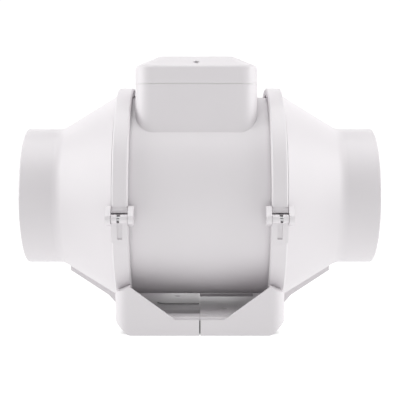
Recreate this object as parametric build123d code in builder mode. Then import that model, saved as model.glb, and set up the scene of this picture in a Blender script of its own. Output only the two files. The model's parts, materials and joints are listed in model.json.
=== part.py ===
from build123d import *
import os
from math import asin, atan2, cos, degrees, radians, sin, sqrt, tan

# Inline mixed-flow duct fan for bathroom air extraction. Two bracket mouldings stand on
# the mounting surface and carry the duct spigots; a motor module lies between them and is
# held by two hinged clamp bands. X runs along the fan axis (air enters at -X and leaves at
# +X), -Y is the side with the latches, +Z is up, and the origin is the middle of the foot.

# ---------------------------------------------------------------- driving dimensions (mm)
foot_height = 19.9        # underside of the casing above the surface that the base stands on
total_length = 246.0      # from spigot end to spigot end
wall = 2.2                # general wall of the mouldings

duct_radius = 48.0        # outside of a spigot, for 100 mm ducting
spigot_length = 25.5
spigot_edge = 0.8         # rounding of the spigot's rim

casing_radius = 70.5      # outside of the motor module
clamp_offset = 52.1       # middle plane of each clamp from the fan's middle
clamp_width = 10.6
clamp_side_gap = 0.3      # clamp band to bracket ear, on each side
clamp_height = 6.5        # outside of the clamp bands over the casing
clamp_chamfer = 0.8
band_wall = 1.8
band_lip = 1.5            # thickness of the lips that reach over the flanges
lip_gap = 1.7             # lip to casing, so that the band can swing off
flange_height = 3.1
flange_width = 2.7
seal_thickness = 1.0
cone_gap = 0.6            # clamp to the large end of the cone
cone_lift = 1.6           # large end of the cone over the casing
cone_root = 12.0          # hollow rounding between spigot and cone

pin_radius = 1.5
pin_standoff = 2.9        # pin centre outside the clamp radius, measured level
pin_drop = 11.8           # pin centre below the fan axis
knuckle_radius = 2.7
ear_radius = 3.6
ear_width = 3.5
running_gap = 0.05        # pin in a knuckle, screw in a guide hole
band_end_drop = 8.1       # ends of the clamp band below the fan axis
ring_end_drop = 8.9       # ends of the lower half ring below the fan axis
band_end_height = 3.0     # thickened end of the band
band_end_growth = 0.9

tongue_gap = 0.6          # latch tongue to half ring
tongue_wall = 2.7
tongue_drop_inner = 30.4
tongue_drop_outer = 28.0
tongue_slot_top = 2.5
tongue_slot_bottom = 1.5
slot_depth_below_pin = 2.8
groove_width = 3.2
groove_depth = 0.9
groove_top = 15.2
groove_bottom = 25.5

base_overhang = 4.6       # end wall of the base beyond the middle plane of its clamp
base_inset = 4.5          # front of the base behind the casing's foremost line
base_wall = 2.5
deck_gap = 7.7            # casing to the upper side of the base plate
deck_wall = 2.5
cutout_sill_fall = 1.6    # lower edge of the cut-outs below the plate
base_split = 0.9          # slit between the walls of the two halves
deck_joint = 0.1          # slit between the two halves of the plate
base_corner = 10.0        # upright corners
base_toe = 8.9            # slope from the foot up to the end wall, in each direction
base_toe_round = 6.0      # rounding at both ends of that slope
shoulder_rise = 12.5      # top of the base wall above the casing's underside
shoulder_fall = 3.2
shoulder_round = 3.5      # rounding of the shoulder's outer corner
cutout_foot = 16.4        # half width of the cut-out along its lower edge
saddle_cavity = 4.0
foot_hole_end_inset = 15.0   # mounting holes from the end walls
foot_hole_side_inset = 12.0  # mounting holes from the front and rear walls
foot_hole_radius = 2.6
foot_boss_radius = 5.0
pad_length = 30.5
pad_height = 0.6
pad_near = 6.5
pad_wall_gap = 9.0
pad_corner = 8.0
pad_hole_x = 17.0
pad_hole_y = 30.4
pad_hole_radius = 2.2
plate_slot_end = 41.0     # slot through the plate, from the slit to here
plate_slot_y = 40.5
plate_slot_depth = 17.0
plate_rib = 1.6
gusset_width = 4.0
gusset_reach = 93.6
gusset_height = 3.6

box_shift = -2.4          # terminal box centre along X
box_length = 82.6
box_depth = 109.4
box_corner = 12.0
seam_rise = 6.4           # seam between box and lid above the top of the casing
seam_gap = 0.4
gasket_inset = 0.35
lid_wall_rise = 12.1      # where the lid's slopes begin, above the seam
lid_slope_rise = 7.3
lid_slope_run = 15.6
lid_top_corner = 4.0
lid_eaves_round = 2.8
lid_ridge_round = 1.2
lid_screw_y = 48.6
lid_screw_head_radius = 1.9
lid_screw_head = 1.8
lid_screw_radius = 1.1
lid_screw_length = 9.0
lid_recess_radius = 2.1
lid_boss_radius = 3.8
lid_floor_rise = 2.7      # underside of the screw heads above the seam

throat_radius = 41.0
throat_end = -33.0
bellmouth_wall = 1.6
bellmouth_rim = 4.3       # flat rim outside the bellmouth's curve
impeller_eye_gap = 1.0
blade_count = 8
blade_wall = 1.8
shaft_radius = 4.0
hub_shell_radius = 45.0
vane_count = 9
vane_wall = 1.8
vane_ring_start = 6.0
vane_ring_end = 48.0
strut_length = 22.0
strut_width = 8.0
lead_radius = 2.0
lead_x = 29.0
tail_tip = 84.0

motor_radius = 36.0
motor_wall = 2.0
motor_start = 6.5
motor_end = 51.5
core_start = 18.0
core_end = 40.0
air_gap = 0.4
rotor_radius = 19.5
slot_count = 12
bearing_radius = 11.0
bearing_width = 7.0
ball_radius = 2.0
ball_track_radius = 7.5
ball_count = 7
ball_gap = 0.15
motor_screw_circle = 26.0
through_bolt_circle = 37.4
lug_radius = 3.0
lug_length = 6.0
through_bolt_radius = 1.5

gland_x = 18.0
gland_drop = 12.7         # gland centre below the seam
gland_thread_radius = 8.0
gland_bore_radius = 4.0
gland_hex_radius = 11.0
terminal_size = (39.0, 22.0, 10.5)
terminal_ways = 5
terminal_x = -6.0
terminal_platform_rise = 3.1
capacitor_radius = 10.5
capacitor_length = 44.0
capacitor_y = 31.0

# ---------------------------------------------------------------- dependent dimensions
half_length = total_length / 2
axis_height = casing_radius + foot_height
clamp_radius = casing_radius + clamp_height
cone_start = half_length - spigot_length
duct_bore = duct_radius - wall
casing_bore = casing_radius - wall
flange_radius = casing_radius + flange_height
ring_width = clamp_width + 2 * clamp_side_gap
ring_inner_side = clamp_offset - ring_width / 2
ring_outer_side = clamp_offset + ring_width / 2
band_inner_side = clamp_offset - clamp_width / 2
band_outer_side = clamp_offset + clamp_width / 2
casing_end = clamp_offset - seal_thickness / 2
cone_flange_start = clamp_offset + seal_thickness / 2
cone_flange_end = cone_flange_start + flange_width
lip_radius = casing_radius + lip_gap
band_bore = clamp_radius - band_wall
cone_end = band_outer_side + cone_gap
cone_end_radius = casing_radius + cone_lift
cone_rise = cone_end_radius - duct_radius
cone_run = cone_start - cone_end
cone_angle = atan2(cone_rise, cone_run)
corner_shift = wall * tan(cone_angle / 2)
pin_y = clamp_radius + pin_standoff
base_half_length = clamp_offset + base_overhang
base_half_depth = casing_radius - base_inset
deck_drop = casing_radius + deck_gap
cutout_drop = deck_drop + cutout_sill_fall
shoulder_drop = casing_radius - shoulder_rise
foot_hole_x = base_half_length - foot_hole_end_inset
foot_hole_y = base_half_depth - foot_hole_side_inset
pad_far = base_half_depth - pad_wall_gap
seam_height = casing_radius + seam_rise
lid_wall_height = seam_height + lid_wall_rise
lid_top_height = lid_wall_height + lid_slope_rise
lid_floor_height = seam_height + lid_floor_rise
bellmouth_mouth = casing_bore - bellmouth_rim
gland_height = seam_height - gland_drop
terminal_platform = casing_radius + terminal_platform_rise
box_half_depth = box_depth / 2

fan_axis = Axis((0, 0, axis_height), (1, 0, 0))


def cone_radius(x):
    """Outside radius of a cone at distance x from the fan's middle."""
    return cone_end_radius - (x - cone_end) * cone_rise / cone_run


def drop_angle(drop, radius):
    """Angle below the horizontal at which a circle about the axis has fallen by drop."""
    return degrees(asin(drop / radius))


# ---------------------------------------------------------------- planes and operations
def radial_plane(angle):
    """Plane through the fan axis: X along the axis, Y outward at angle (0 = +Y, 90 = up)."""
    normal = (0, -sin(radians(angle)), cos(radians(angle)))
    return Plane(origin=(0, 0, axis_height), x_dir=(1, 0, 0), z_dir=normal)


def cross_plane(x):
    """Plane across the fan axis at x: its own X and Y are the fan's Y and Z."""
    return Plane(origin=(x, 0, axis_height), x_dir=(0, 1, 0), z_dir=(1, 0, 0))


def side_plane(y):
    """Upright plane along the fan axis at y: its own X and Y are the fan's X and Z."""
    return Plane(origin=(0, y, axis_height), x_dir=(1, 0, 0), z_dir=(0, -1, 0))


def level_plane(z):
    """Level plane at height z from the fan axis."""
    return Plane.XY.offset(axis_height + z)


def draw(outline):
    """Draw a closed outline: each entry is a point, or (through, end) for an arc.

    An arc may end on the first point, and then it closes the outline.
    """
    here = outline[0]
    for step in outline[1:] + outline[:1]:
        if isinstance(step[0], tuple):
            ThreePointArc(here, step[0], step[1])
            here = step[1]
        elif step != here:
            Line(here, step)
            here = step


def turn(outline, start=90.0, arc=360.0, mode=Mode.ADD):
    """Turn an outline of (x, radius) points about the fan axis in the open part block."""
    with BuildSketch(radial_plane(start)) as section:
        with BuildLine():
            draw(outline)
        make_face()
    revolve(section.sketch, axis=fan_axis, revolution_arc=arc, mode=mode)


def prism(plane, outline, amount, both=False, mode=Mode.ADD):
    """Extrude an outline drawn on a plane in the open part block."""
    with BuildSketch(plane) as section:
        with BuildLine():
            draw(outline)
        make_face()
    extrude(section.sketch, amount=amount, both=both, mode=mode)


def rod(plane, points, radius, amount, both=False, mode=Mode.ADD):
    """Extrude a circle at each point of a plane in the open part block."""
    with BuildSketch(plane) as section:
        with Locations(*points):
            Circle(radius)
    extrude(section.sketch, amount=amount, both=both, mode=mode)


def box_between(low, high):
    """Outline of an upright rectangle between two corners."""
    return [low, (high[0], low[1]), high, (low[0], high[1])]


os.makedirs("parts", exist_ok=True)


def save(part, name):
    """Label a finished piece and write it as its own file."""
    part.label = name
    export_step(part, f"parts/{name}.step")


def turned_half(part):
    """The same moulding turned half round for the fan's other end."""
    return part.rotate(Axis.Z, 180)


# ---------------------------------------------------------------- bracket mouldings
# Spigot, cone, lower half ring, ears and half of the base are one moulding. The inlet
# bracket is the same moulding turned half round.
root_run = cone_root * tan(cone_angle / 2)
cone_outline = [
    (half_length, duct_bore),
    (half_length, duct_radius),
    (cone_start + root_run, duct_radius),
    (
        (
            cone_start + root_run - cone_root * sin(cone_angle / 2),
            duct_radius + cone_root * (1 - cos(cone_angle / 2)),
        ),
        (
            cone_start + root_run - cone_root * sin(cone_angle),
            duct_radius + cone_root * (1 - cos(cone_angle)),
        ),
    ),
    (cone_end, cone_end_radius),
    (cone_end, casing_radius),
    (cone_flange_end, casing_radius),
    (cone_flange_end, flange_radius),
    (cone_flange_start, flange_radius),
    (cone_flange_start, casing_bore),
    (cone_end - corner_shift, casing_bore),
    (cone_start - corner_shift, duct_bore),
]
half_ring_outline = [
    (ring_inner_side, lip_radius),
    (ring_inner_side, clamp_radius - clamp_chamfer),
    (ring_inner_side + clamp_chamfer, clamp_radius),
    (ring_outer_side - clamp_chamfer, clamp_radius),
    (ring_outer_side, clamp_radius - clamp_chamfer),
    (ring_outer_side, casing_radius - wall / 2),
    (cone_flange_end - wall / 2, casing_radius - wall / 2),
    (cone_flange_end - wall / 2, flange_radius),
    (ring_inner_side + band_lip, flange_radius),
    (ring_inner_side + band_lip, lip_radius),
]
ear_outline = [
    (lip_radius + 1.0, -3.8),
    (clamp_radius + 0.3, -3.8),
    (pin_y + ear_radius - 0.5, -pin_drop + 2.0),
    (pin_y, -pin_drop),
    (pin_y - 1.0, -pin_drop - ear_radius + 0.2),
    (lip_radius + 1.0, -pin_drop - ear_radius - 1.6),
]
ring_start_angle = 180 + drop_angle(ring_end_drop, clamp_radius)
ring_arc = 180 - 2 * drop_angle(ring_end_drop, clamp_radius)
saddle_face = ring_inner_side
plate_start = base_split / 2
deck_under = deck_drop + deck_wall
shoulder_end_height = -shoulder_drop - shoulder_fall
toe_half_turn = radians(22.5)
toe_tangent = base_toe_round * tan(toe_half_turn)
toe_leg = toe_tangent * cos(radians(45))
cutout_slope = (saddle_face - cutout_foot) / (cutout_drop - shoulder_drop)
cutout_at_deck = cutout_foot + (cutout_drop - deck_drop) * cutout_slope

with BuildPart() as outlet_bracket:
    # base: side view of the wall, run through the full depth
    base_outline = [
        (plate_start, -axis_height),
        (base_half_length - base_toe - toe_tangent, -axis_height),
        (
            (
                base_half_length - base_toe - toe_tangent + base_toe_round * sin(toe_half_turn),
                base_toe_round * (1 - cos(toe_half_turn)) - axis_height,
            ),
            (base_half_length - base_toe + toe_leg, toe_leg - axis_height),
        ),
        (base_half_length - toe_leg, base_toe - toe_leg - axis_height),
        (
            (
                base_half_length - base_toe_round * (1 - cos(toe_half_turn)),
                base_toe + toe_tangent - base_toe_round * sin(toe_half_turn) - axis_height,
            ),
            (base_half_length, base_toe + toe_tangent - axis_height),
        ),
        (base_half_length, shoulder_end_height - shoulder_round),
        (
            (
                base_half_length - shoulder_round * (1 - cos(radians(45))),
                shoulder_end_height - shoulder_round * (1 - sin(radians(45))),
            ),
            (base_half_length - shoulder_round, shoulder_end_height),
        ),
        (saddle_face, -shoulder_drop),
        (cutout_at_deck, -deck_drop),
        (plate_start, -deck_drop),
    ]
    prism(side_plane(0), base_outline, base_half_depth, both=True)
    with BuildSketch(Plane.XY) as plan:
        RectangleRounded(2 * base_half_length, 2 * base_half_depth, base_corner)
    extrude(plan.sketch, amount=axis_height, mode=Mode.INTERSECT)
    # open space over the plate, between the front and rear walls
    inner_depth = base_half_depth - base_wall
    above_plate = box_between((0, -deck_drop), (saddle_face, -shoulder_drop + base_wall))
    prism(side_plane(0), above_plate, inner_depth, both=True, mode=Mode.SUBTRACT)
    # the cut-outs reach a little lower than the plate
    cutout_sill = [
        (0, -deck_drop),
        (0, -cutout_drop),
        (cutout_foot, -cutout_drop),
        (cutout_at_deck, -deck_drop),
    ]
    for side in (-1, 1):
        wall_middle = side * (base_half_depth - base_wall / 4)
        sill_plane = side_plane(wall_middle)
        prism(sill_plane, cutout_sill, base_wall / 2, both=True, mode=Mode.SUBTRACT)
    # hollow underside and hollow saddle
    under_outline = [
        (plate_start + base_wall, -deck_under),
        (plate_start + base_wall, -axis_height - 1),
        (base_half_length - base_toe - base_wall * sqrt(2) - 1, -axis_height - 1),
        (base_half_length - base_wall, base_toe + base_wall * (sqrt(2) - 1) - axis_height),
        (base_half_length - base_wall, shoulder_end_height - shoulder_round),
        (base_half_length - base_wall - saddle_cavity, shoulder_end_height - shoulder_round),
        (base_half_length - base_wall - saddle_cavity, -deck_under),
    ]
    cavity_depth = base_half_depth - base_corner
    prism(side_plane(0), under_outline, cavity_depth, both=True, mode=Mode.SUBTRACT)
    under_plate = box_between(
        (plate_start + base_wall, -axis_height - 1),
        (base_half_length - base_toe - base_wall, -deck_under),
    )
    prism(side_plane(0), under_plate, inner_depth, both=True, mode=Mode.SUBTRACT)
    # the two halves of the plate meet more closely than the walls
    plate_edge = box_between((deck_joint / 2, -deck_under), (plate_start + base_wall, -deck_drop))
    prism(side_plane(0), plate_edge, inner_depth, both=True)
    # ribs under the plate
    for rib_y in (-pad_hole_y / 2, pad_hole_y / 2):
        rib = box_between(
            (plate_start + base_wall / 2, -axis_height + deck_wall),
            (base_half_length - base_toe, -deck_drop - deck_wall / 2),
        )
        prism(side_plane(rib_y), rib, plate_rib / 2, both=True)
    # raised pad with its fixing hole
    with BuildSketch(level_plane(-deck_drop - deck_wall / 2)) as pad:
        with Locations((plate_start + pad_length / 2, (pad_near - pad_far) / 2)):
            Rectangle(pad_length, pad_near + pad_far)
        fillet(pad.vertices().group_by(Axis.X)[-1], pad_corner)
    extrude(pad.sketch, amount=pad_height + deck_wall / 2)
    rod(
        level_plane(-deck_under - 1),
        [(pad_hole_x, -pad_hole_y)],
        pad_hole_radius,
        deck_wall + pad_height + 2,
        mode=Mode.SUBTRACT,
    )
    # slot through the plate, on the other side of the fan axis
    slot_near = plate_slot_y - plate_slot_depth / 2
    plate_slot = box_between((0, slot_near), (plate_slot_end, slot_near + plate_slot_depth))
    prism(level_plane(-deck_under - 1), plate_slot, deck_wall + 2, mode=Mode.SUBTRACT)
    # corner bosses that take the mounting screws
    boss_points = [(foot_hole_x, -foot_hole_y), (foot_hole_x, foot_hole_y)]
    boss_height = axis_height - deck_drop
    rod(level_plane(-axis_height), boss_points, foot_boss_radius, boss_height)
    rod(
        level_plane(-axis_height - 1),
        boss_points,
        foot_hole_radius,
        boss_height + 2,
        mode=Mode.SUBTRACT,
    )
    # room for the half ring, then the half ring, the cone and the spigot
    ring_middle = (clamp_radius + flange_radius) / 2
    rod(cross_plane(0), [(0, 0)], ring_middle, half_length, mode=Mode.SUBTRACT)
    turn(half_ring_outline, start=ring_start_angle, arc=ring_arc)
    turn(cone_outline)
    # gusset between cone and base
    gusset_outline = [
        (gusset_reach, wall / 2 - cone_radius(gusset_reach)),
        (gusset_reach, -cone_radius(gusset_reach) - gusset_height),
        (cone_end + 8.0, -casing_radius - 1.6),
        (cone_end + 3.5, -casing_radius - 6.7),
        (base_half_length - base_wall / 2, -deck_drop - 4.0),
        (base_half_length - base_wall / 2, wall / 2 - casing_radius),
        (cone_end, wall / 2 - casing_radius),
    ]
    prism(side_plane(0), gusset_outline, gusset_width / 2, both=True)
    # ears for the latch pin in front and the hinge pin behind
    for side in (-1, 1):
        for ear_x in (ring_inner_side - ear_width, ring_outer_side):
            ear = [(side * y, z) for y, z in ear_outline]
            prism(cross_plane(ear_x), ear, ear_width)
            rod(cross_plane(ear_x), [(side * pin_y, -pin_drop)], ear_radius, ear_width)
    pin_points = [(-pin_y, -pin_drop), (pin_y, -pin_drop)]
    rod(
        cross_plane(ring_inner_side - ear_width - 1),
        pin_points,
        pin_radius,
        ring_width + 2 * ear_width + 2,
        mode=Mode.SUBTRACT,
    )
    # soft rim of the spigot
    rim = outlet_bracket.edges().filter_by(GeomType.CIRCLE).group_by(Axis.X)[-1]
    fillet(rim, spigot_edge)

save(outlet_bracket.part, "outlet_bracket")
inlet_bracket = turned_half(outlet_bracket.part)
save(inlet_bracket, "inlet_bracket")

# ---------------------------------------------------------------- pins of the clamps
pin_length = ring_width + 2 * ear_width
with BuildPart() as latch_pin:
    rod(cross_plane(clamp_offset - pin_length / 2), [(-pin_y, -pin_drop)], pin_radius, pin_length)
    chamfer(latch_pin.edges().filter_by(GeomType.CIRCLE), 0.3)
with BuildPart() as hinge_pin:
    rod(cross_plane(clamp_offset - pin_length / 2), [(pin_y, -pin_drop)], pin_radius, pin_length)
    chamfer(hinge_pin.edges().filter_by(GeomType.CIRCLE), 0.3)
save(latch_pin.part, "outlet_latch_pin")
save(hinge_pin.part, "outlet_hinge_pin")
save(mirror(latch_pin.part, about=Plane.YZ), "inlet_latch_pin")
save(mirror(hinge_pin.part, about=Plane.YZ), "inlet_hinge_pin")

# ---------------------------------------------------------------- clamp bands
# A band is a channel that reaches over both flanges. It ends in a thickened edge above the
# latch, and in a knuckle on the hinge pin behind.
band_outline = [
    (band_inner_side, lip_radius),
    (band_inner_side, clamp_radius - clamp_chamfer),
    (band_inner_side + clamp_chamfer, clamp_radius),
    (band_outer_side - clamp_chamfer, clamp_radius),
    (band_outer_side, clamp_radius - clamp_chamfer),
    (band_outer_side, lip_radius),
    (band_outer_side - band_lip, lip_radius),
    (band_outer_side - band_lip, band_bore),
    (band_inner_side + band_lip, band_bore),
    (band_inner_side + band_lip, lip_radius),
]
band_end_outline = box_between(
    (band_inner_side, band_bore), (band_outer_side, clamp_radius + band_end_growth)
)
band_end_angle = drop_angle(band_end_drop, clamp_radius)
arm_outline = [
    (band_bore + 0.2, 1.0 - band_end_drop),
    (clamp_radius + 0.2, 0.5 - band_end_drop),
    (clamp_radius + 0.9, -pin_drop + 1.5),
    (pin_y, -pin_drop),
    (pin_y + knuckle_radius - 0.1, -pin_drop + 0.6),
    (clamp_radius + 1.6, -2.0),
    (clamp_radius - 0.6, 4.0),
    (band_bore + 0.4, 2.0),
]
with BuildPart() as clamp_band:
    turn(band_outline, start=-band_end_angle, arc=180 + 2 * band_end_angle)
    end_sweep = drop_angle(band_end_height, clamp_radius)
    turn(band_end_outline, start=180 + band_end_angle - end_sweep, arc=end_sweep)
    # arm and knuckle on the hinge pin
    prism(cross_plane(band_inner_side), arm_outline, clamp_width)
    rod(cross_plane(band_inner_side), [(pin_y, -pin_drop)], knuckle_radius, clamp_width)
    rod(
        cross_plane(band_inner_side - 1),
        [(pin_y, -pin_drop)],
        pin_radius + running_gap,
        clamp_width + 2,
        mode=Mode.SUBTRACT,
    )
save(clamp_band.part, "outlet_clamp_band")
save(mirror(clamp_band.part, about=Plane.YZ), "inlet_clamp_band")

# ---------------------------------------------------------------- latch levers
tongue_radius = clamp_radius + tongue_gap
tongue_outside = tongue_radius + tongue_wall
tongue_top_angle = drop_angle(pin_drop, tongue_outside)
with BuildPart() as latch_lever:
    rod(cross_plane(band_inner_side), [(-pin_y, -pin_drop)], knuckle_radius, clamp_width)
    # tongue in two steps: its inner half hangs lower than its outer half
    for low_x, high_x, drop in (
        (band_inner_side, clamp_offset, tongue_drop_inner),
        (clamp_offset, band_outer_side, tongue_drop_outer),
    ):
        strip = box_between((low_x, tongue_radius), (high_x, tongue_outside))
        sweep_angle = drop_angle(drop, tongue_outside) - tongue_top_angle
        turn(strip, start=180 + tongue_top_angle, arc=sweep_angle)
    # slot between the two knuckles
    slot_side = clamp_offset + groove_width / 2
    slot_outline = [
        (slot_side, -band_end_drop),
        (slot_side - tongue_slot_top, -band_end_drop),
        (slot_side - tongue_slot_bottom, -pin_drop - slot_depth_below_pin),
        (slot_side, -pin_drop - slot_depth_below_pin),
    ]
    slot_plane = side_plane(-clamp_radius + knuckle_radius)
    prism(slot_plane, slot_outline, 4 * knuckle_radius, mode=Mode.SUBTRACT)
    # finger groove
    groove_start = drop_angle(groove_top, tongue_outside)
    groove_sweep = drop_angle(groove_bottom, tongue_outside) - groove_start
    groove = box_between(
        (clamp_offset - groove_width / 2, tongue_outside - groove_depth),
        (clamp_offset + groove_width / 2, tongue_outside + 1),
    )
    turn(groove, start=180 + groove_start, arc=groove_sweep, mode=Mode.SUBTRACT)
    rod(
        cross_plane(band_inner_side - 1),
        [(-pin_y, -pin_drop)],
        pin_radius + running_gap,
        clamp_width + 2,
        mode=Mode.SUBTRACT,
    )
save(latch_lever.part, "outlet_latch_lever")
save(mirror(latch_lever.part, about=Plane.YZ), "inlet_latch_lever")

# ---------------------------------------------------------------- flange seals
seal_outline = box_between((casing_end, casing_bore + 0.6), (cone_flange_start, flange_radius - 0.4))
with BuildPart() as outlet_seal:
    turn(seal_outline)
save(outlet_seal.part, "outlet_seal")
save(turned_half(outlet_seal.part), "inlet_seal")

# ---------------------------------------------------------------- motor casing
box_centre = (box_shift, 0)
box_floor = sqrt(casing_radius**2 - box_half_depth**2)
box_rim = seam_height - seam_gap / 2
lid_rim = seam_height + seam_gap / 2
lid_screw_points = [(box_shift, -lid_screw_y), (box_shift, lid_screw_y)]
gland_plane = Plane(
    origin=(gland_x, box_half_depth, axis_height + gland_height),
    x_dir=(-1, 0, 0),
    z_dir=(0, 1, 0),
)
lead_plane = Plane(origin=(lead_x, 0, axis_height), x_dir=(1, 0, 0), z_dir=(0, 0, 1))
grommet_radius = lead_radius + 2.0
box_bottom = box_floor - 4.0

with BuildPart() as motor_casing:
    # terminal box walls, trimmed to the cylinder below
    with BuildSketch(level_plane(box_bottom)) as box_sketch:
        with Locations(box_centre):
            RectangleRounded(box_length, box_depth, box_corner)
            RectangleRounded(
                box_length - 2 * wall,
                box_depth - 2 * wall,
                box_corner - wall,
                mode=Mode.SUBTRACT,
            )
    extrude(box_sketch.sketch, amount=box_rim - box_bottom)
    rod(level_plane(box_bottom), lid_screw_points, lid_boss_radius, box_rim - box_bottom)
    # platform under the terminal block
    platform = box_between(
        (terminal_x - terminal_size[0] / 2, casing_bore),
        (terminal_x + terminal_size[0] / 2, terminal_platform),
    )
    prism(side_plane(0), platform, terminal_size[1] / 2, both=True)
    # the cylinder and its two flanges
    turn(box_between((-casing_end, 0), (casing_end, casing_radius)))
    for end in (-1, 1):
        flange = box_between(
            (end * casing_end, casing_radius - wall / 2),
            (end * (casing_end - flange_width), flange_radius),
        )
        turn(flange)
    turn(box_between((-casing_end - 1, 0), (casing_end + 1, casing_bore)), mode=Mode.SUBTRACT)
    # holes: lid screws, cable gland, motor lead
    rod(
        level_plane(box_rim - lid_screw_length - 2),
        lid_screw_points,
        lid_screw_radius + running_gap,
        lid_screw_length + 3,
        mode=Mode.SUBTRACT,
    )
    rod(gland_plane, [(0, 0)], gland_thread_radius, wall * 2, both=True, mode=Mode.SUBTRACT)
    rod(
        lead_plane.offset(casing_bore - 3),
        [(0, 0)],
        grommet_radius,
        wall + 8,
        mode=Mode.SUBTRACT,
    )
save(motor_casing.part, "motor_casing")

# ---------------------------------------------------------------- lid, gasket and lid screws
with BuildPart() as lid_gasket:
    with BuildSketch(level_plane(box_rim)) as gasket_sketch:
        with Locations(box_centre):
            RectangleRounded(
                box_length - 2 * gasket_inset,
                box_depth - 2 * gasket_inset,
                box_corner - gasket_inset,
            )
            RectangleRounded(
                box_length - 2 * wall,
                box_depth - 2 * wall,
                box_corner - wall,
                mode=Mode.SUBTRACT,
            )
    extrude(gasket_sketch.sketch, amount=seam_gap)
save(lid_gasket.part, "lid_gasket")

lid_roof = wall / cos(atan2(lid_top_height - lid_wall_height, lid_slope_run))
with BuildPart() as terminal_lid:
    # upright wall and hipped roof, then the same inside
    for shrink, fall, rim, mode in (
        (0.0, 0.0, lid_rim, Mode.ADD),
        (wall, lid_roof - wall / 2, lid_rim - 1, Mode.SUBTRACT),
    ):
        with BuildSketch(level_plane(rim)) as rim_sketch:
            with Locations(box_centre):
                RectangleRounded(
                    box_length - 2 * shrink, box_depth - 2 * shrink, box_corner - shrink
                )
        extrude(rim_sketch.sketch, amount=lid_wall_height - fall - rim, mode=mode)
        with BuildSketch(level_plane(lid_wall_height - fall)) as eaves_sketch:
            with Locations(box_centre):
                RectangleRounded(
                    box_length - 2 * shrink, box_depth - 2 * shrink, box_corner - shrink
                )
        ridge_height = lid_top_height - (wall if mode == Mode.SUBTRACT else 0.0)
        with BuildSketch(level_plane(ridge_height)) as ridge_sketch:
            with Locations(box_centre):
                RectangleRounded(
                    box_length - 2 * lid_slope_run - shrink,
                    box_depth - 2 * lid_slope_run - shrink,
                    lid_top_corner,
                )
        loft([eaves_sketch.sketch.face(), ridge_sketch.sketch.face()], ruled=True, mode=mode)
    # soft eaves and ridge
    for edge_height, rounding in (
        (lid_wall_height, lid_eaves_round),
        (lid_top_height, lid_ridge_round),
    ):
        level = axis_height + edge_height
        soft_edges = terminal_lid.edges().filter_by_position(Axis.Z, level - 0.01, level + 0.01)
        fillet(soft_edges, rounding)
    # screw pillars down from the roof, with a recess for each head
    pillar_top = lid_wall_height + 1.0
    rod(level_plane(lid_rim), lid_screw_points, lid_boss_radius, pillar_top - lid_rim)
    rod(
        level_plane(lid_floor_height),
        lid_screw_points,
        lid_recess_radius,
        lid_top_height - lid_floor_height,
        mode=Mode.SUBTRACT,
    )
    rod(
        level_plane(lid_rim - 1),
        lid_screw_points,
        lid_screw_radius + running_gap,
        lid_floor_height - lid_rim + 2,
        mode=Mode.SUBTRACT,
    )
save(terminal_lid.part, "terminal_lid")

with BuildPart() as lid_screws:
    rod(level_plane(lid_floor_height), lid_screw_points, lid_screw_head_radius, lid_screw_head)
    shank = lid_floor_height - box_rim + lid_screw_length
    rod(level_plane(lid_floor_height - shank), lid_screw_points, lid_screw_radius, shank)
    for turn_angle in (0, 90):
        with BuildSketch(level_plane(lid_floor_height + lid_screw_head / 2)) as cross_slot:
            with Locations(*lid_screw_points):
                Rectangle(2.6, 0.6, rotation=turn_angle)
        extrude(cross_slot.sketch, amount=lid_screw_head, mode=Mode.SUBTRACT)
save(lid_screws.part, "lid_screws")

# ---------------------------------------------------------------- inlet bellmouth
mouth_start = seal_thickness - casing_end
throat_point = (throat_end, throat_radius)
bell_bulge = (throat_end - 12.0, throat_radius + 4.0)
bellmouth_outline = [
    throat_point,
    (throat_end, throat_radius + bellmouth_wall),
    (
        (bell_bulge[0] + 1.0, bell_bulge[1] + 1.5),
        (mouth_start + wall, bellmouth_mouth + 1.0),
    ),
    (mouth_start + wall, casing_bore),
    (mouth_start, casing_bore),
    (mouth_start, bellmouth_mouth),
    (bell_bulge, throat_point),
]
with BuildPart() as inlet_bellmouth:
    turn(bellmouth_outline)
save(inlet_bellmouth.part, "inlet_bellmouth")

# ---------------------------------------------------------------- impeller
# Mixed-flow wheel: a conical hub and a conical shroud with curved blades between them.
eye_radius = throat_radius + bellmouth_wall + impeller_eye_gap
eye_start = throat_end - 4.0
hub_nose = -36.0
hub_exit = (0.0, hub_shell_radius + 1.0)
shroud_exit = (2.0, casing_bore - 4.8)
hub_outline = [
    (hub_nose, shaft_radius),
    (hub_nose, 14.0),
    ((-20.0, 25.5), hub_exit),
    (0.0, hub_shell_radius - 1.5),
    ((-19.0, 23.5), (hub_nose + 3.5, 12.0)),
    (hub_nose + 3.5, 9.0),
    (-14.0, 9.0),
    (-14.0, shaft_radius),
]
shroud_outline = [
    (eye_start, eye_radius),
    (throat_end + 3.0, eye_radius),
    ((-13.0, 50.5), shroud_exit),
    (shroud_exit[0] - 1.0, shroud_exit[1] + 1.5),
    ((-14.0, 52.2), (throat_end + 2.4, eye_radius + 1.6)),
    (eye_start, eye_radius + 1.6),
]
blade_room = [
    (throat_end + 3.0, 17.0),
    ((-20.0, 24.6), (0.0, hub_shell_radius - 0.5)),
    (1.2, shroud_exit[1] + 0.4),
    ((-13.4, 51.2), (throat_end + 3.0, eye_radius + 0.8)),
]
with BuildPart() as impeller:
    with BuildSketch(cross_plane(throat_end)) as blades_sketch:
        for blade in range(blade_count):
            with Locations(Rotation(0, 0, 360 / blade_count * blade)):
                with BuildLine() as camber:
                    ThreePointArc((10.0, 0.0), (42.0, 9.0), (68.0, 36.0))
                    offset(amount=blade_wall / 2)
                make_face()
    extrude(blades_sketch.sketch, amount=shroud_exit[0] - throat_end)
    turn(blade_room, mode=Mode.INTERSECT)
    turn(hub_outline)
    turn(shroud_outline)
save(impeller.part, "impeller")

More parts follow.
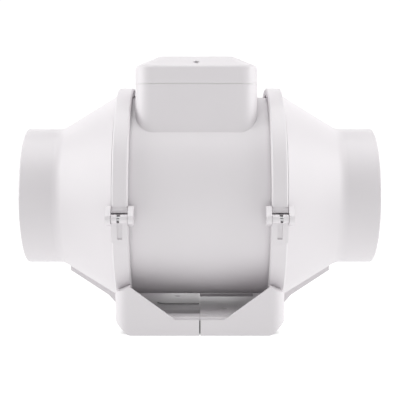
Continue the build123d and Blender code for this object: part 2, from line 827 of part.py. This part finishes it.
shaft_nose = hub_nose - 7.0
with BuildPart() as impeller_nut:
    with BuildSketch(cross_plane(shaft_nose + 1.0)) as nut_sketch:
        RegularPolygon(7.0, 6)
        Circle(shaft_radius, mode=Mode.SUBTRACT)
    extrude(nut_sketch.sketch, amount=hub_nose - shaft_nose - 1.0)
save(impeller_nut.part, "impeller_nut")

# ---------------------------------------------------------------- guide vanes and tail cone
hub_bore = hub_shell_radius - wall
hub_wall_start = motor_start - deck_wall
vane_root = sqrt(hub_shell_radius**2 - (strut_width / 2) ** 2) - 0.6
vane_tip = casing_bore - wall / 2
with BuildPart() as guide_vanes:
    turn(box_between((vane_ring_start, casing_bore - wall), (vane_ring_end, casing_bore)))
    turn(box_between((hub_wall_start, hub_bore), (vane_ring_end, hub_shell_radius)))
    turn(box_between((hub_wall_start, 12.0), (motor_start, hub_bore + 0.5)))
    for vane in range(1, vane_count):
        vane_plane = radial_plane(90 + 360 / vane_count * vane)
        stem = Plane(
            origin=vane_plane.origin + vane_plane.y_dir * vane_root,
            x_dir=vane_plane.x_dir,
            z_dir=vane_plane.y_dir,
        )
        with BuildSketch(stem) as vane_sketch:
            with BuildLine():
                ThreePointArc((vane_ring_start + 1, -5.5), (24.0, -0.6), (vane_ring_end - 3, 0.0))
                offset(amount=vane_wall / 2)
            make_face()
        extrude(vane_sketch.sketch, amount=vane_tip - vane_root)
    # hollow strut that carries the motor lead to the terminal box
    with BuildSketch(lead_plane.offset(vane_root)) as strut_sketch:
        SlotOverall(strut_length, strut_width)
    extrude(strut_sketch.sketch, amount=vane_tip - vane_root)
    rod(
        lead_plane.offset(hub_bore - 3),
        [(0, 0)],
        lead_radius + 0.3,
        casing_radius - hub_bore + 3,
        mode=Mode.SUBTRACT,
    )
    rod(
        cross_plane(hub_wall_start - 1),
        [
            (motor_screw_circle * cos(radians(a)), motor_screw_circle * sin(radians(a)))
            for a in (45, 135, 225, 315)
        ],
        through_bolt_radius,
        deck_wall + 2,
        mode=Mode.SUBTRACT,
    )
save(guide_vanes.part, "guide_vanes")

tail_start = vane_ring_end
tail_outline = [
    (tail_start - 4.0, hub_bore - wall),
    (tail_start - 4.0, hub_bore),
    (tail_start, hub_bore),
    (tail_start, hub_shell_radius),
    ((tail_tip - 11.0, 30.0), (tail_tip, 8.0)),
    (tail_tip, 0.0),
    (tail_tip - wall, 0.0),
    (tail_tip - wall, 7.0),
    ((tail_tip - 12.5, 28.0), (tail_start + 6.0, hub_bore - wall)),
]
with BuildPart() as tail_cone:
    turn(tail_outline)
save(tail_cone.part, "tail_cone")

# ---------------------------------------------------------------- motor
stator_bore = rotor_radius + air_gap
stator_radius = motor_radius - motor_wall
slot_inner = stator_bore + 2.0
slot_outer = stator_radius - 4.0
winding_inner = slot_inner + 0.3
winding_outer = slot_outer - 0.3
winding_reach = 3.5
bearing_lip = 0.5
bearing_spots = {
    "front": motor_start + bearing_lip,
    "rear": motor_end - bearing_lip - bearing_width,
}


def ring_points(radius, count, first=0.0):
    """Points evenly spaced round the axis, on a cross plane."""
    angles = [radians(first + 360 / count * k) for k in range(count)]
    return [(radius * cos(a), radius * sin(a)) for a in angles]


def slots(inner, outer, width):
    """Sketch of radial slots, in the open sketch block."""
    with PolarLocations((inner + outer) / 2, slot_count):
        Rectangle(outer - inner, width)


with BuildPart() as stator_core:
    with BuildSketch(cross_plane(core_start)) as core_sketch:
        Circle(stator_radius)
        Circle(stator_bore, mode=Mode.SUBTRACT)
        with PolarLocations((slot_inner + slot_outer) / 2, slot_count):
            Rectangle(slot_outer - slot_inner, 5.0, mode=Mode.SUBTRACT)
    extrude(core_sketch.sketch, amount=core_end - core_start)
save(stator_core.part, "stator_core")

with BuildPart() as stator_windings:
    with BuildSketch(cross_plane(core_start - winding_reach)) as coil_sketch:
        slots(winding_inner, winding_outer, 4.4)
    extrude(coil_sketch.sketch, amount=core_end - core_start + 2 * winding_reach)
    for end_x in (core_start - winding_reach, core_end + 0.2):
        turn(
            box_between((end_x, winding_inner), (end_x + winding_reach - 0.2, winding_outer))
        )
save(stator_windings.part, "stator_windings")

for place, inner, outer in (
    ("front", motor_start, core_start + 2.0),
    ("rear", motor_end, core_end - 2.0),
):
    toward = 1 if outer > inner else -1
    bolt_points = ring_points(through_bolt_circle, 4, 20)
    with BuildPart() as shield:
        turn(box_between((inner, 0), (inner + toward * deck_wall, motor_radius)))
        turn(box_between((inner, stator_radius), (outer, motor_radius)))
        boss_end = inner + toward * (bearing_width + bearing_lip)
        turn(box_between((inner, 0), (boss_end, bearing_radius + wall)))
        turn(
            box_between((inner + toward * bearing_lip, 0), (boss_end + toward, bearing_radius)),
            mode=Mode.SUBTRACT,
        )
        turn(
            box_between((inner - toward, 0), (boss_end, bearing_radius - 3.0)),
            mode=Mode.SUBTRACT,
        )
        lug_start = min(inner, inner + toward * lug_length)
        rod(cross_plane(lug_start), bolt_points, lug_radius, lug_length)
        turn(
            box_between((inner + toward * deck_wall, 0), (outer, stator_radius)),
            mode=Mode.SUBTRACT,
        )
        turn(
            box_between(
                (inner + toward * bearing_lip, bearing_radius), (boss_end, bearing_radius + wall)
            )
        )
        rod(
            cross_plane(min(inner, outer) - 1),
            bolt_points,
            through_bolt_radius,
            abs(outer - inner) + 2,
            mode=Mode.SUBTRACT,
        )
        if place == "front":
            rod(
                cross_plane(inner - 1),
                ring_points(motor_screw_circle, 4, 45),
                through_bolt_radius,
                deck_wall + 2,
                mode=Mode.SUBTRACT,
            )
    save(shield.part, f"motor_{place}_shield")

with BuildPart() as through_bolts:
    bolt_length = motor_end - motor_start
    rod(cross_plane(motor_start), bolt_points, through_bolt_radius, bolt_length)
    rod(cross_plane(motor_end), bolt_points, through_bolt_radius * 1.9, 1.6)
save(through_bolts.part, "motor_through_bolts")

with BuildPart() as motor_screws:
    screw_points = ring_points(motor_screw_circle, 4, 45)
    rod(cross_plane(hub_wall_start - 1.6), screw_points, through_bolt_radius * 1.8, 1.6)
    rod(cross_plane(hub_wall_start), screw_points, through_bolt_radius, 2 * deck_wall)
save(motor_screws.part, "motor_screws")

with BuildPart() as rotor_core:
    turn(box_between((core_start, shaft_radius), (core_end, rotor_radius)))
save(rotor_core.part, "rotor_core")

with BuildPart() as rotor_end_rings:
    for end_x in (core_start - 2.0, core_end):
        turn(box_between((end_x, shaft_radius + 7.0), (end_x + 2.0, rotor_radius - 2.0)))
save(rotor_end_rings.part, "rotor_end_rings")

with BuildPart() as shaft:
    rod(cross_plane(shaft_nose), [(0, 0)], shaft_radius, motor_end - shaft_nose + 1.0)
    chamfer(shaft.edges().filter_by(GeomType.CIRCLE), 0.5)
save(shaft.part, "shaft")

# ball bearings at both ends of the motor
race_wall = 1.6
for place, start in bearing_spots.items():
    middle = start + bearing_width / 2
    track = ball_radius + ball_gap
    with BuildPart() as outer_ring:
        turn(
            box_between(
                (start, bearing_radius - race_wall), (start + bearing_width, bearing_radius)
            )
        )
        with BuildSketch(radial_plane(90)) as track_sketch:
            with Locations((middle, ball_track_radius)):
                Circle(track)
        revolve(track_sketch.sketch, axis=fan_axis, mode=Mode.SUBTRACT)
    save(outer_ring.part, f"{place}_bearing_outer")
    with BuildPart() as inner_ring:
        turn(
            box_between((start, shaft_radius), (start + bearing_width, shaft_radius + race_wall))
        )
        with BuildSketch(radial_plane(90)) as track_sketch:
            with Locations((middle, ball_track_radius)):
                Circle(ball_radius)
        revolve(track_sketch.sketch, axis=fan_axis, mode=Mode.SUBTRACT)
    save(inner_ring.part, f"{place}_bearing_inner")
    with BuildPart() as balls:
        with Locations(
            *[(middle, y, axis_height + z) for y, z in ring_points(ball_track_radius, ball_count)]
        ):
            Sphere(ball_radius)
    save(balls.part, f"{place}_bearing_balls")

# ---------------------------------------------------------------- motor lead and grommet
lead_start = stator_radius + 0.1
lead_level = terminal_platform + terminal_size[2] / 2
lead_end = terminal_x + terminal_size[0] / 2
lead_bend = 6.0
with BuildPart() as motor_lead:
    with BuildLine(side_plane(0)) as lead_path:
        FilletPolyline(
            (lead_x, lead_start), (lead_x, lead_level), (lead_end, lead_level), radius=lead_bend
        )
    with BuildSketch(lead_plane.offset(lead_start)) as lead_section:
        Circle(lead_radius)
    sweep(lead_section.sketch, path=lead_path.line)
save(motor_lead.part, "motor_lead")

grommet_lip = 1.4
with BuildPart() as lead_grommet:
    rod(lead_plane.offset(casing_bore), [(0, 0)], grommet_radius, wall + 1.5)
    rod(lead_plane.offset(casing_radius), [(0, 0)], grommet_radius + grommet_lip, 1.5)
    rod(lead_plane.offset(casing_bore - 1), [(0, 0)], lead_radius, 8, mode=Mode.SUBTRACT)
save(lead_grommet.part, "lead_grommet")

# ---------------------------------------------------------------- terminal block
block_top = terminal_platform + terminal_size[2]
way_pitch = terminal_size[0] / terminal_ways
way_points = [
    (terminal_x + way_pitch * (k - (terminal_ways - 1) / 2), y)
    for k in range(terminal_ways)
    for y in (-5.0, 5.0)
]
with BuildPart() as terminal_block:
    block = box_between((terminal_x - terminal_size[0] / 2, terminal_platform), (lead_end, block_top))
    prism(side_plane(0), block, terminal_size[1] / 2, both=True)
    rod(level_plane(block_top - 4), way_points, 2.2, 5, mode=Mode.SUBTRACT)
    for way in range(terminal_ways):
        port_x = terminal_x + way_pitch * (way - (terminal_ways - 1) / 2)
        port = [(port_x, terminal_platform + 3.2)]
        rod(side_plane(0), port, 1.6, terminal_size[1], both=True, mode=Mode.SUBTRACT)
save(terminal_block.part, "terminal_block")

with BuildPart() as terminal_screws:
    rod(level_plane(block_top - 4), way_points, 2.0, 2.4)
    with BuildSketch(level_plane(block_top - 2.6)) as screw_slots:
        with Locations(*way_points):
            Rectangle(5.0, 0.7)
    extrude(screw_slots.sketch, amount=2.0, mode=Mode.SUBTRACT)
save(terminal_screws.part, "terminal_screws")

# ---------------------------------------------------------------- run capacitor and its clip
capacitor_radius_out = casing_radius + capacitor_radius + 0.4
capacitor_height = sqrt(capacitor_radius_out**2 - capacitor_y**2)
capacitor_x = box_shift - capacitor_length / 2 - 4.0
with BuildPart() as capacitor:
    rod(
        cross_plane(capacitor_x), [(capacitor_y, capacitor_height)], capacitor_radius, capacitor_length
    )
    fillet(capacitor.edges().filter_by(GeomType.CIRCLE), 1.2)
save(capacitor.part, "capacitor")

clip_width = 12.0
clip_wall = 1.2
clip_start = capacitor_x + capacitor_length / 2 - clip_width / 2
with BuildPart() as capacitor_clip:
    with BuildSketch(cross_plane(clip_start)) as clip_sketch:
        with Locations((capacitor_y, capacitor_height)):
            Circle(capacitor_radius + clip_wall)
            Rectangle(2 * capacitor_radius + 2 * clip_wall, 2 * capacitor_radius + 1.0)
            Circle(capacitor_radius, mode=Mode.SUBTRACT)
        Circle(casing_radius, mode=Mode.SUBTRACT)
    extrude(clip_sketch.sketch, amount=clip_width)
save(capacitor_clip.part, "capacitor_clip")

# ---------------------------------------------------------------- cable gland
gland_flange = 5.0
gland_cap_length = 11.0
with BuildPart() as gland_body:
    with BuildSketch(gland_plane) as gland_sketch:
        RegularPolygon(gland_hex_radius, 6)
    extrude(gland_sketch.sketch, amount=gland_flange)
    rod(gland_plane.offset(-wall - 7), [(0, 0)], gland_thread_radius, wall + 7)
    rod(gland_plane, [(0, 0)], gland_thread_radius - 0.5, gland_flange + 5)
    rod(gland_plane.offset(-20), [(0, 0)], gland_bore_radius, 40, mode=Mode.SUBTRACT)
save(gland_body.part, "gland_body")

with BuildPart() as gland_locknut:
    with BuildSketch(gland_plane.offset(-wall - 4)) as locknut_sketch:
        RegularPolygon(gland_hex_radius, 6)
        Circle(gland_thread_radius, mode=Mode.SUBTRACT)
    extrude(locknut_sketch.sketch, amount=4)
save(gland_locknut.part, "gland_locknut")

with BuildPart() as gland_cap:
    cap_plane = gland_plane.offset(gland_flange + 0.4)
    rod(cap_plane, [(0, 0)], gland_hex_radius - 1.2, gland_cap_length)
    cap_rim = gland_cap.edges().filter_by(GeomType.CIRCLE).group_by(Axis.Y)[-1]
    fillet(cap_rim, 3.0)
    rod(cap_plane, [(0, 0)], gland_thread_radius - 0.5, gland_cap_length - 2.5, mode=Mode.SUBTRACT)
    rod(cap_plane, [(0, 0)], gland_bore_radius + 0.6, gland_cap_length, mode=Mode.SUBTRACT)
save(gland_cap.part, "gland_cap")

with BuildPart() as gland_seal:
    seal_plane = gland_plane.offset(gland_flange + 5)
    rod(seal_plane, [(0, 0)], gland_thread_radius - 0.7, 3.4)
    rod(seal_plane, [(0, 0)], gland_bore_radius, 3.4, mode=Mode.SUBTRACT)
save(gland_seal.part, "gland_seal")
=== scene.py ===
# %% [markdown]
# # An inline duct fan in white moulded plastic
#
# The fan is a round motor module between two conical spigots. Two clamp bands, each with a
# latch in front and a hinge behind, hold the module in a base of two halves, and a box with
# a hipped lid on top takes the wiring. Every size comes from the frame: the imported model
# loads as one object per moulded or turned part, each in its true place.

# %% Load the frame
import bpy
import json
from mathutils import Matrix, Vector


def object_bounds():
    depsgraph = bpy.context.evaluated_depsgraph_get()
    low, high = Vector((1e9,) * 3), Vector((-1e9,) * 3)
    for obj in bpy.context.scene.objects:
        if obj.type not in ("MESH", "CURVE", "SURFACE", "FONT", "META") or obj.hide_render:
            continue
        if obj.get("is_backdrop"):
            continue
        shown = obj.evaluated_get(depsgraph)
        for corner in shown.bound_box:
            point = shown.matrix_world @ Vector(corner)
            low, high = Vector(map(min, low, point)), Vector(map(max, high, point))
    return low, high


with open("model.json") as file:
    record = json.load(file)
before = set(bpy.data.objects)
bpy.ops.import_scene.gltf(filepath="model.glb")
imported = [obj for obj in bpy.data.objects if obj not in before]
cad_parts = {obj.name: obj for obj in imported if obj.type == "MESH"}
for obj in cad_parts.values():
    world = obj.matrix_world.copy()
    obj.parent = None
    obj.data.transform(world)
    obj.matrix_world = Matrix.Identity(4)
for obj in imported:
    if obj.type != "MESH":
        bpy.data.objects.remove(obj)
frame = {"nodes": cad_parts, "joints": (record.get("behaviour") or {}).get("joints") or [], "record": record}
model_low, model_high = (list(corner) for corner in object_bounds())

import json
import math

import bpy
import numpy as np
from mathutils import Vector

MM = 0.001
nodes = frame["nodes"]
print("parts:", len(nodes), "box:", [round(v, 4) for v in model_low + model_high])

# %% [markdown]
# ## Shader arithmetic
#
# A procedural material is mostly arithmetic on numbers that vary over the surface. Wired by
# hand that is a tangle of Math nodes, so here a small class wraps a socket and lets the
# arithmetic be written as arithmetic: `base + 0.1 * noise` adds the two nodes it needs. Any
# other node comes from one method, which takes the node's type, its settings and its sockets.


# %% A socket that can be calculated with
class Wire:
    """One output in a material. Operators add Math nodes; add() adds any other node."""

    def __init__(self, tree, socket=None):
        self.tree = tree
        self.socket = socket

    def add(self, kind, settings=None, sockets=None, out=0):
        """Add a node: its settings first, then values or links for its sockets."""
        node = self.tree.nodes.new(kind)
        for name, value in (settings or {}).items():
            setattr(node, name, value)
        for name, value in (sockets or {}).items():
            target = node.inputs[name]
            if isinstance(value, Wire):
                self.tree.links.new(value.socket, target)
            else:
                target.default_value = value
        return Wire(self.tree, node.outputs[out])

    def math(self, operation, first, second=0.0):
        """A Math node on one or two numbers, each of which may be a wire."""
        return self.add("ShaderNodeMath", {"operation": operation}, {0: first, 1: second})

    def __add__(self, other):
        return self.math("ADD", self, other)

    def __radd__(self, other):
        return self.math("ADD", other, self)

    def __rsub__(self, other):
        return self.math("SUBTRACT", other, self)

    def __mul__(self, other):
        return self.math("MULTIPLY", self, other)

    def __rmul__(self, other):
        return self.math("MULTIPLY", other, self)

    def sine(self):
        """The sine of the number, in radians."""
        return self.math("SINE", self)

    def size(self):
        """The number without its sign."""
        return self.math("ABSOLUTE", self)


def noise(wires, size, detail=3.0, roughness=0.5):
    """Noise from 0 to 1 whose features are about size metres across, in Object coordinates."""
    place = wires.add("ShaderNodeTexCoord", out="Object")
    sockets = {"Vector": place, "Scale": 1 / size, "Detail": detail, "Roughness": roughness}
    return wires.add("ShaderNodeTexNoise", {"noise_dimensions": "3D"}, sockets)


def tint(wires, mask, low, high):
    """A colour that goes from low to high with the mask."""
    return wires.add(
        "ShaderNodeMix",
        {"data_type": "RGBA"},
        {0: mask, 6: (*low, 1.0), 7: (*high, 1.0)},
        out=2,
    )


def principled(material):
    """The material's Principled shader."""
    return next(n for n in material.node_tree.nodes if n.type == "BSDF_PRINCIPLED")


def finish_material(name, constants, colour, roughness, height, depth):
    """A Principled material from functions that give its colour, roughness and height wires.

    Constants are set on the shader's own sockets. The height, from 0 to 1, drives a Bump
    node whose distance is depth, in metres.
    """
    material = bpy.data.materials.new(name)
    material.use_nodes = True
    tree = material.node_tree
    shader = principled(material)
    for socket, value in constants.items():
        shader.inputs[socket].default_value = value
    wires = Wire(tree)
    bump = wires.add(
        "ShaderNodeBump", None, {"Strength": 1.0, "Distance": depth, "Height": height(wires)}
    )
    for socket, wire in (
        ("Base Color", colour(wires)),
        ("Roughness", roughness(wires)),
        ("Normal", bump),
    ):
        tree.links.new(wire.socket, shader.inputs[socket])
    return material


# %% [markdown]
# ## White moulded plastic
#
# The outside is white ABS from a lightly spark-eroded mould. Up close such a surface has a
# fine grain that breaks up its highlights, and on the scale of a fingertip it is slightly
# wavy, because thick places shrink as they cool. The colour is not one white either: the
# pigment is a touch denser in some places than in others.


# %% Moulded plastic
DENSER_PIGMENT = 0.972       # brightness where the pigment is densest


def moulded(name, white, grain_size=0.0005, grain_depth=0.000012, gloss=0.36):
    """Plastic as it leaves the mould: fine grain, slow waves, slightly uneven pigment."""
    darker = tuple(DENSER_PIGMENT * c for c in white)

    def colour(wires):
        return tint(wires, noise(wires, 0.03, 2.0), darker, white)

    def roughness(wires):
        return gloss + 0.07 * noise(wires, 0.012, 2.0) + 0.04 * noise(wires, grain_size, 1.0)

    def height(wires):
        return 0.75 * noise(wires, grain_size, 2.0) + 0.25 * noise(wires, 0.018, 1.0)

    constants = {"IOR": 1.53, "Specular IOR Level": 0.5}
    return finish_material(name, constants, colour, roughness, height, grain_depth)


white_plastic = moulded("white moulded plastic", (0.72, 0.694, 0.713))
inner_plastic = moulded("inner moulded plastic", (0.72, 0.72, 0.71), 0.0008, 0.00002, 0.48)
nylon = moulded("gland nylon", (0.74, 0.74, 0.73), 0.0006, 0.000015, 0.42)
terminal_nylon = moulded("natural nylon", (0.80, 0.78, 0.70), 0.0004, 0.00001, 0.4)
sheath = moulded("lead sheath", (0.75, 0.75, 0.73), 0.0007, 0.00002, 0.5)
capacitor_shell = moulded("capacitor shell", (0.035, 0.035, 0.04), 0.0006, 0.00002, 0.45)
print("plastics:", white_plastic.name, inner_plastic.name, nylon.name)

# %% [markdown]
# ## Rubber, steel, aluminium, copper and brass
#
# The seals are matt black rubber with a chalky bloom. The metals differ mostly in how they
# were made: turned and ground steel has rings of fine scratches across the axis, stacked
# sheet shows its laminations, a die casting is dull and grainy, and the winding is hundreds
# of enamelled wires side by side. The stripes are sine waves along or round the fan's axis.


# %% Stripes and the other finishes
def stripes(wires, axis, pitch):
    """A wave from 0 to 1 along one axis of Object coordinates, one ridge per pitch metres."""
    place = wires.add("ShaderNodeTexCoord", out="Object")
    along = wires.add("ShaderNodeSeparateXYZ", None, {"Vector": place}, out="XYZ".index(axis))
    phase = along * (2 * math.pi / pitch)
    return 0.5 + 0.5 * phase.sine()


def rubber(name):
    """Matt black rubber with a chalky bloom that comes and goes at random."""
    return finish_material(
        name,
        {"IOR": 1.5},
        lambda w: tint(w, noise(w, 0.004), (0.018, 0.018, 0.019), (0.045, 0.045, 0.046)),
        lambda w: 0.62 + 0.2 * noise(w, 0.006),
        lambda w: noise(w, 0.0008, 4.0),
        0.00004,
    )


def metal(name, low, high, rough, pattern, depth):
    """Bare metal whose height follows one pattern and whose colour varies at random."""
    return finish_material(
        name,
        {"Metallic": 1.0},
        lambda w: tint(w, noise(w, 0.005), low, high),
        lambda w: rough + 0.12 * noise(w, 0.002),
        pattern,
        depth,
    )


seal_rubber = rubber("seal rubber")
ground_steel = metal(
    "ground steel", (0.42, 0.42, 0.43), (0.55, 0.55, 0.56), 0.24,
    lambda w: stripes(w, "X", 0.00025), 0.000004,
)
zinc_plate = metal(
    "zinc plate", (0.46, 0.47, 0.48), (0.60, 0.60, 0.58), 0.30,
    lambda w: noise(w, 0.0006), 0.00001,
)
laminations = metal(
    "stacked sheet steel", (0.20, 0.20, 0.21), (0.30, 0.29, 0.29), 0.45,
    lambda w: stripes(w, "X", 0.0005), 0.00006,
)
die_casting = metal(
    "die cast aluminium", (0.52, 0.52, 0.53), (0.66, 0.66, 0.67), 0.42,
    lambda w: noise(w, 0.0012, 4.0), 0.00005,
)
copper_winding = metal(
    "enamelled winding", (0.38, 0.13, 0.05), (0.60, 0.26, 0.12), 0.28,
    lambda w: stripes(w, "X", 0.0006), 0.00012,
)
terminal_brass = metal(
    "terminal brass", (0.55, 0.40, 0.16), (0.72, 0.56, 0.28), 0.32,
    lambda w: noise(w, 0.0007), 0.00001,
)

# %% [markdown]
# ## Finishes on their parts
#
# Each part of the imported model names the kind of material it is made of. The better material
# goes into the slots that the part already has, so nothing about its shape or place changes.

# %% Put the finishes on the parts
finishes = {
    "white_moulding": white_plastic,
    "inner_moulding": inner_plastic,
    "pin_steel": ground_steel,
    "seal_rubber": seal_rubber,
    "gasket_silicone": sheath,
    "gland_nylon": nylon,
    "screw_zinc": zinc_plate,
    "bearing_steel": ground_steel,
    "core_steel": laminations,
    "winding_copper": copper_winding,
    "cast_aluminium": die_casting,
    "lead_sheath": sheath,
    "terminal_plastic": terminal_nylon,
    "terminal_brass": terminal_brass,
    "capacitor_case": capacitor_shell,
}
slot_of = {row["node"]: row["material_slot"] for row in frame["record"]["subparts"]}
for name, part in nodes.items():
    finish = finishes[slot_of[name]]
    if not part.material_slots:
        part.data.materials.append(finish)
    for material_slot in part.material_slots:
        material_slot.material = finish
print("finishes on", len(nodes), "parts")

# %% [markdown]
# ## Floor, light and camera
#
# The fan stands on a sheet of paper that curves up behind it, so there is no horizon. The
# paper glows white, a little less far in front of the fan. On it are painted light and shade: a
# painted shadow, where the paper glows hardly at all under the base, and a painted pool of light,
# a patch in front of the base that glows more and so lights the shadow under the casing. A large
# soft light overhead and one at each side shape the cylinders, and a pale surround fills the
# front. The camera is a long lens a little above the fan's axis. The sheet's sizes are in metres.

# %% Sheet of paper
SWEEP_HALF_WIDTH = 6.0
SWEEP_FRONT = -3.0
SWEEP_BACK = 3.0
SWEEP_RADIUS = 1.5
SWEEP_TOP = 5.0


def swept_backdrop():
    """A sheet whose side view is a floor line, a quarter circle and a wall line."""
    turn = np.linspace(0.0, math.pi / 2, 24)
    curve_y = SWEEP_BACK + SWEEP_RADIUS * np.sin(turn)
    curve_z = SWEEP_RADIUS * (1 - np.cos(turn))
    profile_y = np.concatenate([[SWEEP_FRONT], curve_y, [curve_y[-1]]])
    profile_z = np.concatenate([[0.0], curve_z, [SWEEP_TOP]])
    across = np.array([-SWEEP_HALF_WIDTH, SWEEP_HALF_WIDTH])
    x, y = np.meshgrid(across, profile_y, indexing="xy")
    z = np.repeat(profile_z[:, None], 2, axis=1)
    points = np.stack([x, y, z], axis=-1).reshape(-1, 3)
    row = np.arange(len(profile_y) - 1) * 2
    faces = np.stack([row, row + 1, row + 3, row + 2], axis=1)
    mesh = bpy.data.meshes.new("backdrop")
    mesh.from_pydata(points.tolist(), [], faces.tolist())
    mesh.polygons.foreach_set("use_smooth", np.ones(len(faces), bool))
    sheet = bpy.data.objects.new("backdrop", mesh)
    bpy.context.scene.collection.objects.link(sheet)
    return sheet


# %% [markdown]
# ## The paper's glow
#
# How brightly the paper glows depends only on where a point of it lies from the fan's two
# upright middle planes; the glow holds a painted shadow under the base and a painted pool of
# light in front of it. Every change is a smooth step, so the paper shows no edges. The base's
# size comes from its mounting holes, which lie a fixed margin inside its walls.

# %% Glow of the paper
PAPER_NEAR = 0.35            # in front of the fan the paper glows fully up to here
PAPER_FAR = 1.4              # and least from here on
FAR_GLOW = 0.85
# Painted shadow: the paper's glow is taken away under the base, where the fan would shade it.
PAINTED_SHADOW_DEPTH = 0.9            # part of the glow that the base takes away
# Painted pool of light: a patch in front of the base glows more, to light the casing's underside.
PAINTED_POOL_GLOW = 0.4             # extra glow of the patch in front of the base
PAINTED_POOL_HALF_WIDTH = 0.10
PAINTED_POOL_NEAR = 0.05            # from the front of the base to the patch
PAINTED_POOL_FAR = 0.26             # and to its far side
SOFT_EDGE = 12 * MM          # width of the smooth step round the shade and the patch
EMISSION = 4.0               # emission strength, so that the brightest colour stays below 1
HOLE_TO_END = 15 * MM        # mounting hole to the end of the base
HOLE_TO_SIDE = 12 * MM       # mounting hole to the side of the base
mounts = {mount["name"]: mount for mount in frame["record"]["mounts"]}
foot_holes = mounts["foot_holes"]["dims"]
base_half_length = foot_holes["spacing_x_mm"] * MM / 2 + HOLE_TO_END
base_half_depth = foot_holes["spacing_y_mm"] * MM / 2 + HOLE_TO_SIDE
painted_pool_edge = -base_half_depth - PAINTED_POOL_NEAR


def smooth_step(value, start, end):
    """A wire from 0 at start to 1 at end, level at both."""
    sockets = {"Value": value, "From Min": start, "From Max": end}
    return value.add("ShaderNodeMapRange", {"interpolation_type": "SMOOTHSTEP"}, sockets)


def within(distance, edge):
    """1 near a middle plane and 0 beyond the edge, for a distance from that plane."""
    return 1.0 - smooth_step(distance.size(), edge - SOFT_EDGE, edge)


def glowing_paper_with_painted_light(name):
    """Paper that glows, with a painted shadow under the base and a painted pool of light in front of it.

    glow = (FAR_GLOW to 1 by the distance in front) * (1 - depth of the painted shadow * shadow mask)
           + glow of the painted pool of light * pool mask
    where the shadow mask is 1 under the base and the pool mask is 1 on a rectangle in front of it.
    """
    material = finish_material(
        name,
        {"IOR": 1.4, "Emission Strength": EMISSION},
        lambda w: tint(w, noise(w, 0.4), (0.09, 0.09, 0.09), (0.1, 0.1, 0.1)),
        lambda w: 0.85 + 0.05 * noise(w, 0.01),
        lambda w: noise(w, 0.002),
        0.00002,
    )
    wires = Wire(material.node_tree)
    place = wires.add("ShaderNodeTexCoord", out="Object")
    along = wires.add("ShaderNodeSeparateXYZ", None, {"Vector": place}, out=0)
    across = wires.add("ShaderNodeSeparateXYZ", None, {"Vector": place}, out=1)
    in_front = smooth_step(across, -PAPER_FAR, -PAPER_NEAR)
    # Painted shadow: the glow dims under the base.
    painted_shadow = within(along, base_half_length) * within(across, base_half_depth)
    # Painted pool of light: a brighter rectangle in front of the base.
    painted_pool = within(along, PAINTED_POOL_HALF_WIDTH) * within(across, base_half_depth + PAINTED_POOL_FAR)
    painted_pool = painted_pool * (1.0 - smooth_step(across, painted_pool_edge - SOFT_EDGE, painted_pool_edge))
    plain = (FAR_GLOW + (1.0 - FAR_GLOW) * in_front) * (1.0 - PAINTED_SHADOW_DEPTH * painted_shadow)
    strength = (plain + PAINTED_POOL_GLOW * painted_pool) * (1.0 / EMISSION)
    glow = tint(wires, strength, (0.0, 0.0, 0.0), (1.0, 1.0, 1.0))
    material.node_tree.links.new(glow.socket, principled(material).inputs["Emission Color"])
    return material


backdrop = swept_backdrop()
backdrop.data.materials.append(glowing_paper_with_painted_light("backdrop paper with painted light"))
backdrop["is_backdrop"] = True

# %% Lights and surround
scene = bpy.context.scene
scene.view_settings.view_transform = "Standard"
fan_middle = Vector((0.0, 0.0, (model_low[2] + model_high[2]) / 2))


def soft_panel(name, place, size, power):
    """A square area light at a place, aimed at the fan."""
    light = bpy.data.lights.new(name, "AREA")
    light.shape = "SQUARE"
    light.size = size
    light.energy = power
    panel = bpy.data.objects.new(name, light)
    panel.location = place
    panel.rotation_euler = (fan_middle - Vector(place)).to_track_quat("-Z", "Y").to_euler()
    scene.collection.objects.link(panel)
    return panel


soft_panel("overhead panel", (0.0, -0.1, 1.5), 1.4, 15.0)
for side_name, side in (("left panel", -1), ("right panel", 1)):
    soft_panel(side_name, (side * 1.4, -0.15, 0.5), 1.2, 14.5)

SURROUND_STRENGTH = 0.27
surround = bpy.data.worlds.new("pale surround")
surround.use_nodes = True
background = surround.node_tree.nodes["Background"].inputs
background["Color"].default_value = (1.0, 1.0, 1.0, 1.0)
background["Strength"].default_value = SURROUND_STRENGTH
scene.world = surround

# %% Camera
AXIS_HEIGHT = frame["joints"][0]["pos_m"][2]
CAMERA_DISTANCE = 0.724
CAMERA_RISE = 0.030
CAMERA_SIDE = 0.1 * MM
CAMERA_DIP = math.radians(2.634)
camera_data = bpy.data.cameras.new("camera")
camera_data.lens = 90.0
camera_data.sensor_width = 36.0
camera_data.clip_start = 0.01
camera = bpy.data.objects.new("camera", camera_data)
camera.location = (CAMERA_SIDE, -CAMERA_DISTANCE, AXIS_HEIGHT + CAMERA_RISE)
camera.rotation_euler = (math.pi / 2 - CAMERA_DIP, 0.0, 0.0)
scene.collection.objects.link(camera)
scene.camera = camera
print("camera at", [round(v, 3) for v in camera.location])
